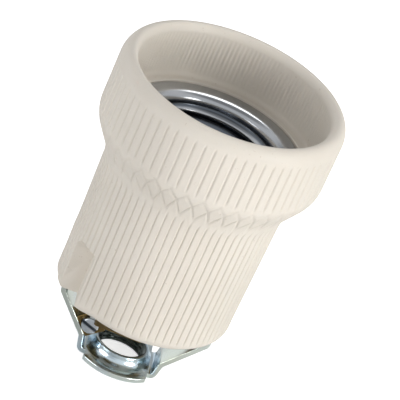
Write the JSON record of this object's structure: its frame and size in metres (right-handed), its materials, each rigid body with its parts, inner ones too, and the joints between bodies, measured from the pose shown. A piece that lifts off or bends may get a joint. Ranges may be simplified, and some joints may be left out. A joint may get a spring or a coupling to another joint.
{
  "type": "lamp holder",
  "caption": "Ribbed porcelain screw-base lamp holder with a rolled metal shell, a sprung centre contact, screw terminals and a steel bracket with a threaded collar.",
  "frame": {"origin": "on the lamp axis, on the underside of the bracket's base plate", "axes": "+Z along the lamp axis towards the lamp, X along the bracket's arms"},
  "size_m": [0.046, 0.046, 0.065],
  "materials": {
    "porcelain": "unglazed, satin",
    "shell_metal": "bright nickel plate",
    "zinc": "blue-passivated zinc plate",
    "brass": "machined",
    "screw_zinc": "zinc plate",
    "spring_bronze": "rolled strip"
  },
  "bodies": {
    "holder": {"porcelain_body": "porcelain", "screw_shell": "shell_metal", "shell_screw": "screw_zinc", "shell_washer": "screw_zinc", "contact_foot": "spring_bronze", "contact_screw": "screw_zinc", "contact_washer": "screw_zinc", "terminal_neutral": "brass", "terminal_live": "brass", "bracket": "zinc", "earth_terminal": "brass", "bracket_screw_right": "screw_zinc", "bracket_screw_left": "screw_zinc", "bracket_nut_right": "screw_zinc", "bracket_nut_left": "screw_zinc", "bracket_washer_right": "screw_zinc", "bracket_washer_left": "screw_zinc"},
    "contact_spring": {"contact_leaf": "spring_bronze"},
    "neutral_screw": {"wire_screw_neutral": "screw_zinc"},
    "live_screw": {"wire_screw_live": "screw_zinc"},
    "earth_screw": {"wire_screw_earth": "screw_zinc"}
  },
  "joints": [
    {"name": "contact_press", "type": "hinge", "parent": "holder", "child": "contact_spring", "pos_m": [0, 0.0053, 0.02581], "axis": [1, 0, 0], "range_deg": [0, 18], "stiffness_Nm_per_rad": 0.08},
    {"name": "neutral_screw_turn", "type": "hinge", "parent": "holder", "child": "neutral_screw", "pos_m": [-0.0075, -0.0082, 0.012], "axis": [-1, 0, 0], "continuous": true},
    {"name": "live_screw_turn", "type": "hinge", "parent": "holder", "child": "live_screw", "pos_m": [0.0075, 0.0082, 0.012], "axis": [1, 0, 0], "continuous": true},
    {"name": "earth_screw_turn", "type": "hinge", "parent": "holder", "child": "earth_screw", "pos_m": [-0.00756, -0.004, 0.0066], "axis": [0, -1, 0], "continuous": true}
  ]
}
